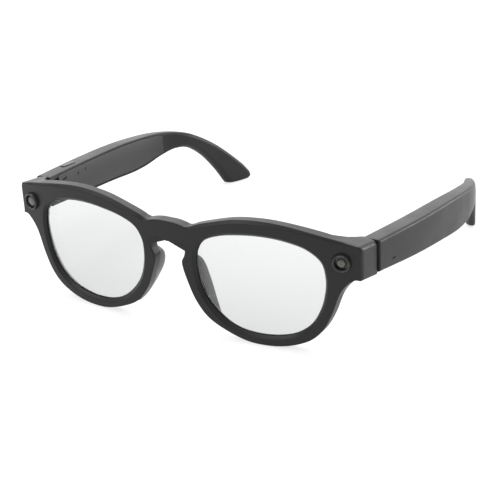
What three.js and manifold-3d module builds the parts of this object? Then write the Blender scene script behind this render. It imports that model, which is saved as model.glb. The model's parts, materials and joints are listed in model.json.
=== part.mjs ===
// Smart glasses: a plastic front with two lenses, a camera and a status light, and two folding
// arms that hold the electronics. Millimetres, +Z up, +X towards the wearer's left, -Y forwards.
// Everything is built upright, with the front standing square, and the whole assembly is then
// tipped so that the rims and the arm tips stand on one plane.
import * as THREE from 'three';
import { mergeVertices } from 'three/addons/utils/BufferGeometryUtils.js';
import Module from 'manifold-3d';

const wasm = await Module();
wasm.setup();

// ---------------------------------------------------------------- driving dimensions
const GAP = 0.3;                   // clearance between pieces that touch
const FRONT_THICKNESS = 4.5;       // rim thickness, front to back
const WRAP = 0.0015;               // front curvature: y = WRAP x^2 + WRAP_END x^4
const WRAP_END = 2e-8;
const FRONT_HALF = 71.5;           // half width of the curved front face
const FRONT_STATIONS = 18;         // flat strips on each half of the curved front
const END_CORNER_X = 74.6;         // outer side of the end piece at its front corner
const END_BACK_Y = 20.0;           // rear face of the end piece, where the arm starts
const END_BACK_X = 75.7;
const END_INNER_X = 69.1;
const BRIDGE_TOP = 42.8;
const ARCH_TOP = 34.9;
const LENS_CENTRE = [36.5, 23.25]; // x, z
const LENS_HALF = [25.5, 19.75];
const LENS_THICKNESS = 1.9;
const LENS_SETBACK = 1.6;          // lens front face behind the front surface
const LENS_TUCK = 0.6;             // lens edge held in the rim groove
const CHAMFER = 1.1;               // sloped band round the front of each opening

const CHANNEL_END = 62.6;
const MODULE_X = 67.6;              // camera and status light, on the end pieces
const MODULE_Z = 36.5;
const MODULE_TOE_OUT = 9;          // degrees, the way the end pieces face
const MODULE_PROUD = 1.5;
const BEZEL_RADIUS = 3.4;
const BEZEL_BASE_RADIUS = 3.65;
const BEZEL_BORE = 2.45;
const BEZEL_DEPTH = 1.6;           // part of the bezel below the front surface

const HINGE_X = 70.0;
const HINGE_Y = 22.2;
const HINGE_Z = 34.4;
const KNUCKLE_RADIUS = 1.8;
const KNUCKLE_HEIGHT = 2.2;
const PIN_RADIUS = 0.7;
const PIN_BORE = 0.78;
const LEAF_THICKNESS = 1.3;
const LEAF_PLATE = [73.6, 74.7];   // the arm's hinge plate, between the cover and the outer wall
const SCREW_STATIONS = [33, 37.5];

const halfLeaf = LEAF_THICKNESS / 2;
const LEAF_LOW = HINGE_Z - 1.5 * KNUCKLE_HEIGHT - GAP;
const LEAF_HIGH = HINGE_Z + 1.5 * KNUCKLE_HEIGHT + GAP;

const ARM_START = 20.3;
const COVER_START = 26.8;          // the inner cover starts behind the hinge recess
const COVER_END = 103;
const COVER_THICKNESS = 1.7;
const ARM_WALL = 1.3;
const CAVITY_START = 28.5;
const CAVITY_END = 100;
const REST_SLOPE = 0.0325;         // the resting plane falls this much for each mm rearwards
const RIM_REST_Y = 3;
const TIP_Y = 148.4;               // rear end of the arm's top edge

const BUTTON_CENTRE = [74.5, 39];  // x, y on top of the wearer's right arm (mirrored)
const BUTTON_HALF = [1, 4];
const BUTTON_PROUD = 0.45;
const BUTTON_TRAVEL = 0.4;
const SWITCH_CENTRE = [46.2, 33.4]; // y, z of the power switch knob, switched off
const SWITCH_TRAVEL = 2;

// ---------------------------------------------------------------- solids
function solidOf(geometry) {
  const g = geometry.clone();
  g.deleteAttribute('normal');
  g.deleteAttribute('uv');
  const merged = mergeVertices(g, 1e-4);
  return new wasm.Manifold(new wasm.Mesh({
    numProp: 3,
    vertProperties: new Float32Array(merged.attributes.position.array),
    triVerts: new Uint32Array(merged.index.array),
  }));
}

function geometryOf(solid) {
  const mesh = solid.getMesh();
  const geometry = new THREE.BufferGeometry();
  geometry.setAttribute('position', new THREE.BufferAttribute(new Float32Array(mesh.vertProperties), 3));
  geometry.setIndex(new THREE.BufferAttribute(new Uint32Array(mesh.triVerts), 1));
  return geometry;
}

const cut = (solid, ...tools) => tools.reduce((rest, tool) => rest.subtract(tool), solid);
const join = (solid, ...others) => others.reduce((all, other) => all.add(other), solid);

function extruded(points, depth) {
  const shape = new THREE.Shape(points.map(([a, b]) => new THREE.Vector2(a, b)));
  return new THREE.ExtrudeGeometry(shape, { depth, bevelEnabled: false, curveSegments: 1 });
}

// Outline in x, z, standing from y = near to y = far.
function frontPrism(points, near, far) {
  return solidOf(extruded(points, far - near).rotateX(Math.PI / 2).translate(0, far, 0));
}

// Outline in x, y, standing from z = low to z = high.
function planPrism(points, low, high) {
  return solidOf(extruded(points, high - low).translate(0, 0, low));
}

// Outline in y, z, standing from x = near to x = far.
function sidePrism(points, near, far) {
  const geometry = extruded(points, far - near);
  geometry.rotateZ(Math.PI / 2).rotateY(Math.PI / 2);
  return solidOf(geometry.translate(near, 0, 0));
}

function block([x0, y0, z0], [x1, y1, z1]) {
  const box = new THREE.BoxGeometry(x1 - x0, y1 - y0, z1 - z0);
  return solidOf(box.translate((x0 + x1) / 2, (y0 + y1) / 2, (z0 + z1) / 2));
}

// A turned piece: profile of [radius, height] along its own +Y axis.
function turned(profile, sides = 32) {
  return new THREE.LatheGeometry(profile.map(([r, h]) => new THREE.Vector2(r, h)), sides);
}

function rod(radius, height, sides = 24) {
  return turned([[0, 0], [radius, 0], [radius, height], [0, height]], sides);
}

// Stands a turned piece on its end at x, y, z, pointing up.
function upright(geometry, x, y, z) {
  return solidOf(geometry.rotateX(Math.PI / 2).translate(x, y, z));
}

// Closed solid through two loops of [x, y, z] with the same number of points, seen from the front.
function loft(frontLoop, backLoop) {
  const count = frontLoop.length;
  const asGiven = frontLoop.map(([x, , z]) => new THREE.Vector2(x, z));
  if (THREE.ShapeUtils.isClockWise(asGiven)) {
    return loft(frontLoop.slice().reverse(), backLoop.slice().reverse());
  }
  const index = [];
  for (const cap of THREE.ShapeUtils.triangulateShape(asGiven, [])) {
    const clockwise = THREE.ShapeUtils.isClockWise(cap.map((i) => asGiven[i]));
    const [a, b, c] = clockwise ? cap.slice().reverse() : cap;
    index.push(a, b, c, count + a, count + c, count + b);
  }
  for (let i = 0; i < count; i += 1) {
    const next = (i + 1) % count;
    index.push(i, count + next, next, i, count + i, count + next);
  }
  const geometry = new THREE.BufferGeometry();
  geometry.setAttribute('position', new THREE.Float32BufferAttribute([...frontLoop, ...backLoop].flat(), 3));
  geometry.setIndex(index);
  return solidOf(geometry);
}

// The same solid on the other side of the glasses.
function mirrored(solid) {
  const geometry = geometryOf(solid).scale(-1, 1, 1);
  const index = geometry.index.array;
  for (let i = 0; i < index.length; i += 3) {
    [index[i], index[i + 1]] = [index[i + 1], index[i]];
  }
  return solidOf(geometry);
}

// ---------------------------------------------------------------- curves
// Smooth function through [at, value] stations.
function track(stations) {
  const slope = stations.map(([at, value], i) => {
    const [a0, v0] = stations[Math.max(i - 1, 0)];
    const [a1, v1] = stations[Math.min(i + 1, stations.length - 1)];
    return a1 === a0 ? value : (v1 - v0) / (a1 - a0);
  });
  return (at) => {
    const last = stations.length - 2;
    const i = Math.min(Math.max(stations.findIndex(([a]) => a > at) - 1, 0), last);
    const k = at >= stations[last + 1][0] ? last : i;
    const [a0, v0] = stations[k];
    const [a1, v1] = stations[k + 1];
    const span = a1 - a0;
    const t = (at - a0) / span;
    const rise = t * t * (3 - 2 * t);
    return v0 + (v1 - v0) * rise + span * (slope[k] * t * (1 - t) ** 2 - slope[k + 1] * t * t * (1 - t));
  };
}

function steps(from, to, count) {
  return Array.from({ length: count + 1 }, (_, i) => from + ((to - from) * i) / count);
}

function smoothed(points, count, closed = false) {
  const knots = points.map(([a, b]) => new THREE.Vector3(a, b, 0));
  const curve = new THREE.CatmullRomCurve3(knots, closed, 'centripetal');
  const list = curve.getPoints(count).map((p) => [p.x, p.y]);
  return closed ? list.slice(0, -1) : list;
}

const frontY = (x) => WRAP * x * x + WRAP_END * x ** 4;
const bothSides = (half) => [...half, ...half.slice().reverse().map(([x, z]) => [-x, z])];

// ---------------------------------------------------------------- front outlines (x, z)
const browEdge = smoothed([[8.2, 41.8], [12, 43.1], [18.5, 45.2], [27, 47.4], [34.5, 48.2], [42, 48.2],
  [53, 46.9], [63.3, 44.9], [73, 43.0], [77, 42.4]], 22);
const endUnderside = [[77, 29.6], [72.6, 30.1]];
const rimEdge = smoothed([[70.6, 29.3], [67.8, 24.6], [64.7, 15.5], [61.6, 9.4], [57, 4.9], [51.4, 2.3],
  [45, 0.6], [38, 0], [31.5, 0.5], [22.9, 3.3], [15.6, 7.4], [10.8, 13.4], [7.6, 20.9], [6.2, 25.4],
  [5.9, 28], [7.2, 30.9], [6.6, 33.2], [4.1, ARCH_TOP - 0.2], [0.6, ARCH_TOP]], 54);
const frontOutline = bothSides([[0.6, BRIDGE_TOP], ...browEdge, ...endUnderside, ...rimEdge]);

const lensOpening = smoothed([[62, 28.6], [60.4, 35.4], [54.8, 40], [46, 42.4], [37.5, 43], [29, 42.4],
  [20.6, 40.8], [14.4, 37.9], [11.6, 33.4], [11, 29], [11.4, 23.6], [13.4, 17.2], [17.6, 11.2], [23.4, 6.4],
  [30, 3.9], [36.5, 3.5], [43.5, 4.5], [50, 7.1], [55.4, 11], [59.6, 17.2], [61.6, 23.2]], 48, true);

function openingGrownBy(margin) {
  const [cx, cz] = LENS_CENTRE;
  const [hx, hz] = LENS_HALF;
  return lensOpening.map(([x, z]) => [cx + (x - cx) * (1 + margin / hx), cz + (z - cz) * (1 + margin / hz)]);
}

// Slice of the curved front between two depths behind its face, out to x = reach on each side.
function frontSlice(near, far, reach) {
  const xs = steps(-reach, reach, Math.round((FRONT_STATIONS * 2 * reach) / FRONT_HALF));
  const face = xs.map((x) => [x, frontY(x) + near]);
  const back = xs.map((x) => [x, frontY(x) + far]).reverse();
  return planPrism([...face, ...back], -5, 60);
}

// ---------------------------------------------------------------- front body
function frontPlan() {
  const xs = steps(0, FRONT_HALF, FRONT_STATIONS);
  const face = xs.map((x) => [x, frontY(x)]);
  const corner = [[73.4, 8.9], [END_CORNER_X, 10.8]];
  const end = [[END_BACK_X, END_BACK_Y], [END_INNER_X, END_BACK_Y], [67.6, 17.4], [64.6, 13.4]];
  const back = xs.filter((x) => x < 62).reverse().map((x) => [x, frontY(x) + FRONT_THICKNESS]);
  const half = [...face, ...corner, ...end, ...back];
  const otherHalf = half.slice(1, -1).reverse().map(([x, y]) => [-x, y]);
  return [...half, ...otherHalf];
}

// The end piece's top and underside fall away towards the arm.
function endPieceTrim() {
  const above = sidePrism([[12, 42.2], [21, 40.8], [21, 50], [12, 50]], 60, 80);
  const below = sidePrism([[12, 29.9], [12, 25], [21, 25], [21, 28.6]], 66, 80);
  return join(above, below);
}

const browUpper = smoothed([[8.2, 40.3], [12.5, 41.6], [18.8, 43.8], [26.8, 45.9], [34.5, 46.7], [42, 46.7],
  [52.6, 45.4], [CHANNEL_END, 43.4]], 14);
const browLower = smoothed([[CHANNEL_END, 36.4], [59.6, 39.9], [54.6, 42.3], [46.2, 44.2], [37.5, 44.8],
  [28.7, 44.2], [19.9, 42.5], [12.8, 39.5], [9.6, 36.6]], 14);
const browOutline = bothSides([[0.6, 41.2], ...browUpper, ...browLower, [0.6, 36.4]]);

const browMiddle = track([[0, 38.8], [9, 38.6], [20, 43.2], [38, 45.7], [53, 43.8], [63, 39.8]]);

function browInset(margin) {
  return browOutline.map(([x, z]) => [x, z - margin * Math.sign(z - browMiddle(Math.abs(x)))]);
}

// Turns a piece made along +Y at the origin to look out of the end piece, on the side given.
function onEndPiece(geometry, side) {
  const face = frontY(MODULE_X);
  const turn = THREE.MathUtils.degToRad(MODULE_TOE_OUT) * side;
  return solidOf(geometry.rotateX(Math.PI).rotateZ(turn).translate(side * MODULE_X, face, MODULE_Z));
}

// Rooms in the end piece: for the flex, and for the camera or the status light with its board.
const FLEX_PASSAGE = block([62, 9.6, 36.6], [66.5, 10.9, 42]);
const MODULE_CHAMBER = block([65.6, 10.2, 31.6], [72, 14.2, 41]);
const LEAF_SLOT_START = 14.9;

function frontFrame() {
  let solid = frontPrism(frontOutline, -5, 30).intersect(planPrism(frontPlan(), -5, 60));
  const tools = [];
  const throughNear = openingGrownBy(0).map(([x, z]) => [x, frontY(x) - 3, z]);
  const throughFar = openingGrownBy(0).map(([x, z]) => [x, frontY(x) + 12, z]);
  const bandNear = openingGrownBy(CHAMFER * 2).map(([x, z]) => [x, frontY(x) - CHAMFER, z]);
  const bandFar = openingGrownBy(0).map(([x, z]) => [x, frontY(x) + CHAMFER, z]);
  const groove = frontPrism(openingGrownBy(LENS_TUCK + GAP), -5, 30)
    .intersect(frontSlice(LENS_SETBACK - GAP, LENS_SETBACK + LENS_THICKNESS + GAP, 70));
  for (const tool of [loft(throughNear, throughFar), loft(bandNear, bandFar), groove]) {
    tools.push(tool, mirrored(tool));
  }
  tools.push(frontPrism(browOutline, -5, 30).intersect(frontSlice(1.8, FRONT_THICKNESS + 1, 70)));
  const endSide = [
    endPieceTrim(),
    FLEX_PASSAGE,
    MODULE_CHAMBER,
    block([HINGE_X - halfLeaf - GAP, LEAF_SLOT_START, LEAF_LOW - GAP],
      [HINGE_X + halfLeaf + GAP, END_BACK_Y + 0.1, LEAF_HIGH + GAP]),
  ];
  for (const tool of endSide) {
    tools.push(tool, mirrored(tool));
  }
  for (const side of [-1, 1]) {
    tools.push(onEndPiece(rod(BEZEL_BASE_RADIUS + GAP, 6).translate(0, -BEZEL_DEPTH - GAP, 0), side));
    tools.push(onEndPiece(rod(2.5, 6).translate(0, -5, 0), side));
  }
  solid = cut(solid, ...tools);
  return solid;
}

function browCover() {
  return frontPrism(browInset(1.5 * GAP), -5, 30)
    .intersect(frontSlice(3.2, FRONT_THICKNESS, CHANNEL_END - GAP));
}

function browFlex() {
  const line = [[0.6, 38.9], [9, 38.9], [20, 43.2], [28, 45.1], [38, 45.8], [46, 45.4], [53, 44], [62, 40]];
  const upper = smoothed(line.map(([x, z]) => [x, z + 0.5]), 14);
  const lower = smoothed(line.map(([x, z]) => [x, z - 0.4]), 14).reverse();
  return frontPrism(bothSides([...upper, ...lower]), -5, 30).intersect(frontSlice(2.3, 2.6, 70));
}

function lens() {
  return frontPrism(openingGrownBy(LENS_TUCK), -5, 30)
    .intersect(frontSlice(LENS_SETBACK, LENS_SETBACK + LENS_THICKNESS, 70));
}

const PAD_BACK_Y = 10.4;

function nosePad() {
  const y0 = FRONT_THICKNESS + GAP + 0.15;
  const near = smoothed([[7.6, 26.6], [7.4, 23.6], [9.2, 18.6], [12.4, 12.4], [15.6, 8.6],
    [17, 9.4], [14.8, 13], [12, 18.6], [10.6, 23], [10, 26.2], [8.8, 27.6]], 22, true);
  const far = smoothed([[9.4, 23.8], [9.7, 21.4], [11, 17.6], [13.2, 13], [15.4, 10],
    [16.2, 10.8], [14.6, 13.6], [12.6, 17.8], [11.4, 21], [10.8, 23.6], [10, 24.6]], 22, true);
  return loft(near.map(([x, z]) => [x, y0 + frontY(x), z]), far.map(([x, z]) => [x, PAD_BACK_Y, z]));
}

function bezel(side) {
  const profile = [[BEZEL_BORE, -BEZEL_DEPTH], [BEZEL_BASE_RADIUS, -BEZEL_DEPTH], [BEZEL_BASE_RADIUS, 0.2],
    [BEZEL_RADIUS, MODULE_PROUD - 0.25], [BEZEL_RADIUS - 0.25, MODULE_PROUD],
    [BEZEL_BORE + 0.25, MODULE_PROUD],
    [BEZEL_BORE, MODULE_PROUD - 0.4], [BEZEL_BORE, -BEZEL_DEPTH]];
  return onEndPiece(turned(profile), side);
}

function domedWindow(side, radius) {
  const profile = [[0, 0], [radius, 0], [radius, 0.5], [radius * 0.7, 0.85], [radius * 0.35, 1], [0, 1.05]];
  return onEndPiece(turned(profile), side);
}

function hingeKnuckle(level) {
  const base = HINGE_Z + (level - 0.5) * KNUCKLE_HEIGHT + level * GAP;
  return upright(rod(KNUCKLE_RADIUS, KNUCKLE_HEIGHT), HINGE_X, HINGE_Y, base);
}

const pinHole = () => upright(rod(PIN_BORE, 12), HINGE_X, HINGE_Y, HINGE_Z - 6);

function frontHingeLeaf() {
  const plate = block([HINGE_X - halfLeaf, LEAF_SLOT_START + GAP, LEAF_LOW],
    [HINGE_X + halfLeaf, HINGE_Y, LEAF_HIGH]);
  const clearance = upright(rod(KNUCKLE_RADIUS + GAP, KNUCKLE_HEIGHT + 2 * GAP), HINGE_X, HINGE_Y,
    HINGE_Z - KNUCKLE_HEIGHT / 2 - GAP);
  return cut(join(cut(plate, clearance), hingeKnuckle(-1), hingeKnuckle(1)), pinHole());
}

function hingePin() {
  const length = LEAF_HIGH - LEAF_LOW;
  const head = [[0, 0], [PIN_RADIUS, 0], [PIN_RADIUS, length + 0.3], [1.3, length + 0.3], [1.3, length + 0.7],
    [0, length + 0.7]];
  return upright(turned(head, 24), HINGE_X, HINGE_Y, LEAF_LOW);
}

// ---------------------------------------------------------------- arm, built on the wearer's left
const armOuterX = track([[20, 75.7], [46, 78.2], [67, 79.3], [89, 78.8], [103, 76.5], [117, 70.9],
  [132, 65.6], [152, 57.2]]);
const armWidth = track([[20, 6.6], [60, 6.7], [82, 6.0], [103, 5.1], [152, 4.4]]);
const armTop = track([[20, 41], [46, 38.1], [74, 35.2], [103, 31.1], [112, 28.8], [120, 25.3], [132, 16.3],
  [144, 3.9], [TIP_Y, -2.2]]);
const armBottom = track([[20, 28.7], [46, 24.9], [67, 22.2], [82, 20.1], [92, 20.0], [103, 21.6], [110, 21.8],
  [117, 19.6], [124, 13.4], [130, 4.8], [135, -3.6]]);
const restZ = (y) => -REST_SLOPE * (y - RIM_REST_Y);

// Arm from one depth inside its outer face to another, between two stations, in plan.
function armSlice(fromOuter, toOuter, start, end) {
  const ys = steps(start, end, Math.ceil((end - start) / 5));
  const outer = ys.map((y) => [armOuterX(y) - fromOuter(y), y]);
  const inner = ys.map((y) => [armOuterX(y) - toOuter(y), y]).reverse();
  return planPrism([...outer, ...inner], -20, 60);
}

// Arm side outline, inset from the top and bottom edges, between two stations.
function armBand(inset, start, end) {
  const ys = steps(start, end, Math.ceil((end - start) / 5));
  const top = ys.map((y) => [y, armTop(y) - inset]);
  const bottom = ys.map((y) => [y, armBottom(y) + inset]).reverse();
  return sidePrism([...bottom.reverse(), ...top.reverse()], 40, 90);
}

function armOutline() {
  const top = [...steps(ARM_START, 100, 14), ...steps(103, TIP_Y, 16)].map((y) => [y, armTop(y)]);
  const bottom = [...steps(ARM_START, 80, 10), ...steps(84, 135, 18)].map((y) => [y, armBottom(y)]);
  const tip = [[136, -4.1], [137.2, restZ(137.2)], [146.6, restZ(146.6)], [148, -4.1], [148.7, -3.1]];
  return [...bottom, ...tip, ...top.reverse()];
}

const nothing = () => 0;
const insideCover = (y) => armWidth(y) - COVER_THICKNESS;

const speakerSlots = [88, 90.5, 93];
const OUTER_MIC = [29.6, 30.6];    // y, z of the slot in the arm's outer face
const RECESS_X = HINGE_X + KNUCKLE_RADIUS + 0.6;
const RECESS_Z = [HINGE_Z - 4.1, HINGE_Z + 4.5]; // room for the knuckles and the pin's head
const LEAF_HALF_HEIGHT = KNUCKLE_HEIGHT / 2;

const SCREW_BOSS = [[31.6, 32], [40.2, 36]]; // y, z corners of the block that the screws bite into

function armCavity() {
  const room = armBand(ARM_WALL, CAVITY_START, CAVITY_END)
    .intersect(armSlice(() => ARM_WALL, (y) => armWidth(y) + 2, CAVITY_START - 1, CAVITY_END + 1));
  const boss = block([LEAF_PLATE[1] + GAP, ...SCREW_BOSS[0]], [80, ...SCREW_BOSS[1]]);
  const screwHoles = SCREW_STATIONS.map((y) => alongArmDepth(rod(0.8, 2.4, 16), 73.9, y, HINGE_Z));
  return join(cut(room, boss), ...screwHoles);
}

// A piece turned about the direction from the inside of the arm outwards, starting at x.
function alongArmDepth(geometry, x, y, z) {
  return solidOf(geometry.rotateZ(-Math.PI / 2).translate(x, y, z));
}

function armShell() {
  const whole = sidePrism(armOutline(), 40, 90).intersect(armSlice(nothing, armWidth, ARM_START, 152));
  const coverSeat = armSlice(insideCover, (y) => armWidth(y) + 2, COVER_START - GAP, COVER_END + GAP);
  const recess = block([60, ARM_START - 1, RECESS_Z[0]], [RECESS_X, COVER_START, RECESS_Z[1]]);
  const leafPath = block([RECESS_X - 1, HINGE_Y - 0.3, HINGE_Z - LEAF_HALF_HEIGHT - GAP],
    [LEAF_PLATE[1] + GAP, CAVITY_START + 1, HINGE_Z + LEAF_HALF_HEIGHT + GAP]);
  const slots = speakerSlots.map((y) => block([74.6, y, 15], [76.6, y + 1, 24]));
  const [micY, micZ] = OUTER_MIC;
  const micSlot = block([75, micY - 1.2, micZ - 0.3], [80, micY + 1.2, micZ + 0.3]);
  return cut(whole, coverSeat, armCavity(), recess, leafPath, ...slots, micSlot, wireTube(0.95));
}

function armCover() {
  return sidePrism(armOutline(), 40, 90)
    .intersect(armSlice((y) => insideCover(y) + GAP, armWidth, COVER_START, COVER_END));
}

// Stiffening wire through the ear hook, from the back of the cavity.
function wireTube(radius) {
  const points = steps(98.5, 139, 10).map((y) => {
    const low = y < 132 ? armBottom(y) : armBottom(132) - 0.8 * (y - 132);
    return new THREE.Vector3(armOuterX(y) - armWidth(y) * 0.45, y, (armTop(y) + low) / 2);
  });
  const round = steps(0, 2 * Math.PI, 8).slice(0, -1);
  const corners = round.map((a) => new THREE.Vector2(Math.cos(a) * radius, Math.sin(a) * radius));
  const shape = new THREE.Shape(corners);
  const extrudePath = new THREE.CatmullRomCurve3(points);
  return solidOf(new THREE.ExtrudeGeometry(shape, { steps: 16, bevelEnabled: false, extrudePath }));
}

function coreWire() {
  return wireTube(0.6).intersect(block([50, 101, -10], [90, 136, 60]));
}

function armHingeLeaf() {
  const low = HINGE_Z - LEAF_HALF_HEIGHT;
  const high = HINGE_Z + LEAF_HALF_HEIGHT;
  const neck = block([HINGE_X, HINGE_Y + 0.6, low], [LEAF_PLATE[1], HINGE_Y + 2.6, high]);
  const plate = block([LEAF_PLATE[0], HINGE_Y + 0.6, low], [LEAF_PLATE[1], 40, high]);
  const holes = SCREW_STATIONS.map((y) => alongArmDepth(rod(0.8, 4, 16), 72, y, HINGE_Z));
  return cut(join(hingeKnuckle(0), neck, plate), pinHole(), ...holes);
}

function hingeScrew(station) {
  const profile = [[0, 0], [1, 0], [1, 0.5], [0.5, 0.5], [0.5, 3], [0, 3]];
  return alongArmDepth(turned(profile, 16), 72.8, SCREW_STATIONS[station], HINGE_Z);
}

// ---------------------------------------------------------------- what the arms hold
function packedIn(inset, fromOuter, toOuter, start, end) {
  return armBand(inset, start, end).intersect(armSlice(fromOuter, toOuter, start, end));
}

const battery = () => packedIn(2, () => 1.7, (y) => insideCover(y) - 0.35, 54, 84);
const touchSensor = () => packedIn(2.4, () => 1.6, () => 1.9, 44, 84);
const speaker = () => packedIn(2.9, () => 1.7, (y) => insideCover(y) - 0.35, 86.5, 97);

function mainBoard() {
  const board = packedIn(2.2, () => 2.3, () => 3, 46, 84);
  const chips = [[50, 56], [60, 70], [74, 79]].map(([start, end]) => (
    packedIn(3.2, () => 2.9, () => 3.9, start, end)));
  return join(board, ...chips);
}

function speakerMesh() {
  const floor = armBottom(91) + ARM_WALL + GAP + 0.1;
  return block([74.9, 87.6, floor], [76.1, 94.4, floor + 0.5]);
}

function armMicrophone() {
  const [y, z] = OUTER_MIC;
  return block([73.4, y - 0.6, z - 1.2], [75, y + 1.9, z + 1.3]);
}

// Stadium outline in plan, centred on the button.
function buttonPlan(margin) {
  const [cx, cy] = BUTTON_CENTRE;
  const [hx, hy] = BUTTON_HALF.map((half) => half + margin);
  const arc = (middle, from) => steps(from, from + Math.PI, 8).map((a) => (
    [cx + hx * Math.cos(a), middle + hx * Math.sin(a)]));
  return [...arc(cy + hy - hx, 0), ...arc(cy - hy + hx, Math.PI)];
}

function buttonLayer(margin, lowInset, highInset) {
  const ys = [BUTTON_CENTRE[1] - 6, BUTTON_CENTRE[1] + 6];
  const top = ys.map((y) => [y, armTop(y) - highInset]);
  const bottom = ys.map((y) => [y, armTop(y) - lowInset]).reverse();
  return planPrism(buttonPlan(margin), 20, 60).intersect(sidePrism([...top, ...bottom], 60, 90));
}

const buttonHole = () => buttonLayer(GAP, 4, -3);
const captureButton = () => join(buttonLayer(0, 2.2, -BUTTON_PROUD), buttonLayer(0.45, 2.2, 1.6));

function captureSwitch() {
  const top = armTop(BUTTON_CENTRE[1]) - 2.2 - BUTTON_TRAVEL - 0.6;
  return block([LEAF_PLATE[1] + GAP, 41, top - 2.6], [76, 43.6, top]);
}

const knobEnds = (margin) => {
  const [y, z] = SWITCH_CENTRE;
  return [[y - 1.7 - margin, z - 0.8 - margin], [y + 1.7 + margin, z + 0.8 + margin]];
};

function powerKnob() {
  const [[y0, z0], [y1, z1]] = knobEnds(0);
  const inner = armOuterX(y0) - armWidth(y0);
  const coverBack = armOuterX(y1) - insideCover(y1);
  const knob = block([inner - 0.55, y0, z0], [coverBack + 0.4, y1, z1]);
  return join(knob, block([coverBack + 0.3, y0 - 0.8, z0 - 0.8], [coverBack + 0.8, y1 + 0.8, z1 + 0.8]));
}

function powerSlot() {
  const [[y0, z0], [y1, z1]] = knobEnds(GAP);
  return block([60, y0, z0], [80, y1 + SWITCH_TRAVEL, z1]);
}

function powerSwitchBody() {
  const [[y0, z0], [y1, z1]] = knobEnds(0.8);
  const from = armOuterX(y1) - insideCover(y1) + 1.1;
  return block([from, y0, z0 - 0.6], [from + 1.6, y1 + SWITCH_TRAVEL, z1 + 0.6]);
}

const PINHOLES = [[40.8, 35.1, 0.55], [46.4, 34.9, 0.45]]; // y, z, radius in the right arm's cover
const pinhole = ([y, z, radius]) => alongArmDepth(rod(radius, 12, 16), 66, y, z);
const indicatorWindow = ([y, z, radius]) => (
  alongArmDepth(rod(radius - 0.12, 1.1, 16), armOuterX(y) - armWidth(y) + 0.2, y, z));

// ---------------------------------------------------------------- small parts of the front
const CONTACT_X = 2.4;
const CONTACT_Z = 38.9;
const CONTACT_RADIUS = 0.95;
const CONTACT_DEPTH = 1.75;
const contactHole = () => solidOf(rod(CONTACT_RADIUS + GAP, 4).translate(CONTACT_X, 3, CONTACT_Z));

function chargingContact() {
  const profile = [[0, 0], [CONTACT_RADIUS, 0], [CONTACT_RADIUS, CONTACT_DEPTH], [0, CONTACT_DEPTH]];
  return solidOf(turned(profile, 24).translate(CONTACT_X, 2.9, CONTACT_Z));
}

const noseMicrophone = () => block([4.6, 2.05, 36.75], [7.2, 2.95, 38.1]);

function cameraBarrel(side) {
  return onEndPiece(turned([[0, -4.3], [2.1, -4.3], [2.1, -1.8], [1.8, -1.8], [1.8, -0.3], [0, -0.3]]), side);
}

const cameraBoard = () => block([66, 12.5, 32], [71.6, 13.3, 40.6]);
const lightSource = () => block([67.3, 9.8, 35.6], [69, 11, 37.4]);
const lightBoard = () => join(block([66, 10.9, 32.4], [71.6, 11.7, 40.2]), lightSource());

// ---------------------------------------------------------------- assembly
const finishes = {
  frame: ['#2b2a2b', 0.55, 0],
  inner: ['#333233', 0.6, 0],
  lens: ['#e9eef0', 0.05, 0],
  pad: ['#4a4a4c', 0.5, 0],
  bezel: ['#1c1c1e', 0.3, 0.4],
  glass: ['#4d5046', 0.08, 0],
  window: ['#77777a', 0.25, 0],
  metal: ['#b9b9bd', 0.3, 1],
  gold: ['#c9a25a', 0.3, 1],
  board: ['#1f4a33', 0.6, 0],
  flex: ['#b5651d', 0.5, 0],
  cell: ['#8f9296', 0.4, 0.3],
  part: ['#3a3a3c', 0.4, 0.2],
  mesh: ['#26282a', 0.5, 0.6],
};

const glasses = new THREE.Group();

function addPiece(name, solid, finish) {
  const [color, roughness, metalness] = finishes[finish];
  const material = new THREE.MeshStandardMaterial({ color, roughness, metalness });
  if (finish === 'lens') {
    material.transparent = true;
    material.opacity = 0.3;
  }
  const mesh = new THREE.Mesh(geometryOf(solid), material);
  mesh.name = name;
  glasses.add(mesh);
}

function addPair(name, solid, finish) {
  addPiece(`left_${name}`, solid, finish);
  addPiece(`right_${name}`, mirrored(solid), finish);
}

const contactHoles = [contactHole(), mirrored(contactHole())];
addPiece('front_frame', frontFrame(), 'frame');
addPiece('brow_cover', cut(browCover(), ...contactHoles), 'inner');
addPair('lens', lens(), 'lens');
addPair('nose_pad', nosePad(), 'pad');
addPiece('camera_bezel', bezel(1), 'bezel');
addPiece('camera_cover_glass', domedWindow(1, 2.2), 'glass');
addPiece('camera_barrel', cameraBarrel(1), 'part');
addPiece('camera_board', cameraBoard(), 'board');
addPiece('status_light_bezel', bezel(-1), 'bezel');
addPiece('status_light_window', domedWindow(-1, 2.2), 'window');
addPiece('status_light_board', mirrored(lightBoard()), 'board');
addPair('charging_contact', chargingContact(), 'gold');
addPiece('brow_flex', browFlex(), 'flex');
addPiece('nose_microphone', noseMicrophone(), 'metal');
addPair('front_hinge_leaf', frontHingeLeaf(), 'metal');
addPair('hinge_pin', hingePin(), 'metal');

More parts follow.
